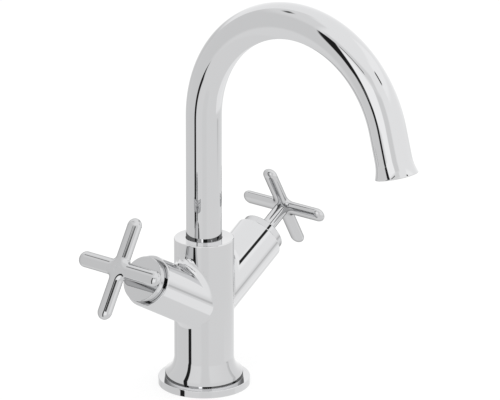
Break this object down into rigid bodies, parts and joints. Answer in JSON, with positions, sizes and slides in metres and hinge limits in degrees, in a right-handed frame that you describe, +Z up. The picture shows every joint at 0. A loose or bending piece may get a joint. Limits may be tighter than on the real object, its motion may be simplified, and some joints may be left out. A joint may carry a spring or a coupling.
{
  "type": "bathroom mixer faucet",
  "caption": "Chrome deck-mounted basin mixer with a tall swivelling swan-neck spout and a cross handle on an inclined arm at each side of the column.",
  "frame": {"origin": "on the column axis at the deck, on the underside of the base ring", "axes": "+Z up, -Y towards the spout outlet and the user, -X towards the hot handle"},
  "size_m": [0.1888, 0.191, 0.2548],
  "materials": {
    "chrome": "polished",
    "brass": "machined",
    "rubber": "matte",
    "ceramic": "lapped",
    "plastic": "moulded",
    "steel": "plain"
  },
  "bodies": {
    "body": {"mixer_body": "chrome", "base_ring": "chrome", "base_seal": "rubber", "spout_glide_washer": "plastic", "spout_stop_screw": "steel", "hot_cartridge_housing": "brass", "hot_bonnet_seal": "rubber", "hot_seat_seal": "rubber", "hot_fixed_disc": "ceramic", "hot_retaining_nut": "brass", "cold_cartridge_housing": "brass", "cold_bonnet_seal": "rubber", "cold_seat_seal": "rubber", "cold_fixed_disc": "ceramic", "cold_retaining_nut": "brass"},
    "spout": {"spout_tube": "chrome", "spout_spigot": "brass", "spout_seals": "rubber", "aerator_housing": "plastic", "aerator_gasket": "rubber", "aerator_mesh": "steel"},
    "hot_handle": {"hot_moving_disc": "ceramic", "hot_spindle": "brass", "hot_spindle_seals": "rubber", "hot_spindle_clip": "steel", "hot_handle_hub": "chrome", "hot_grub_screw": "steel", "hot_cross_handle": "chrome"},
    "cold_handle": {"cold_moving_disc": "ceramic", "cold_spindle": "brass", "cold_spindle_seals": "rubber", "cold_spindle_clip": "steel", "cold_handle_hub": "chrome", "cold_grub_screw": "steel", "cold_cross_handle": "chrome"}
  },
  "joints": [
    {"name": "spout_swivel", "type": "hinge", "parent": "body", "child": "spout", "pos_m": [0, 0, 0.0948], "axis": [0, 0, 1], "range_deg": [-60, 60]},
    {"name": "hot_handle_turn", "type": "hinge", "parent": "body", "child": "hot_handle", "pos_m": [0, 0, 0.0505], "axis": [-0.866, 0, 0.5], "range_deg": [0, 90]},
    {"name": "cold_handle_turn", "type": "hinge", "parent": "body", "child": "cold_handle", "pos_m": [0, 0, 0.0505], "axis": [0.866, 0, 0.5], "range_deg": [-90, 0]}
  ]
}
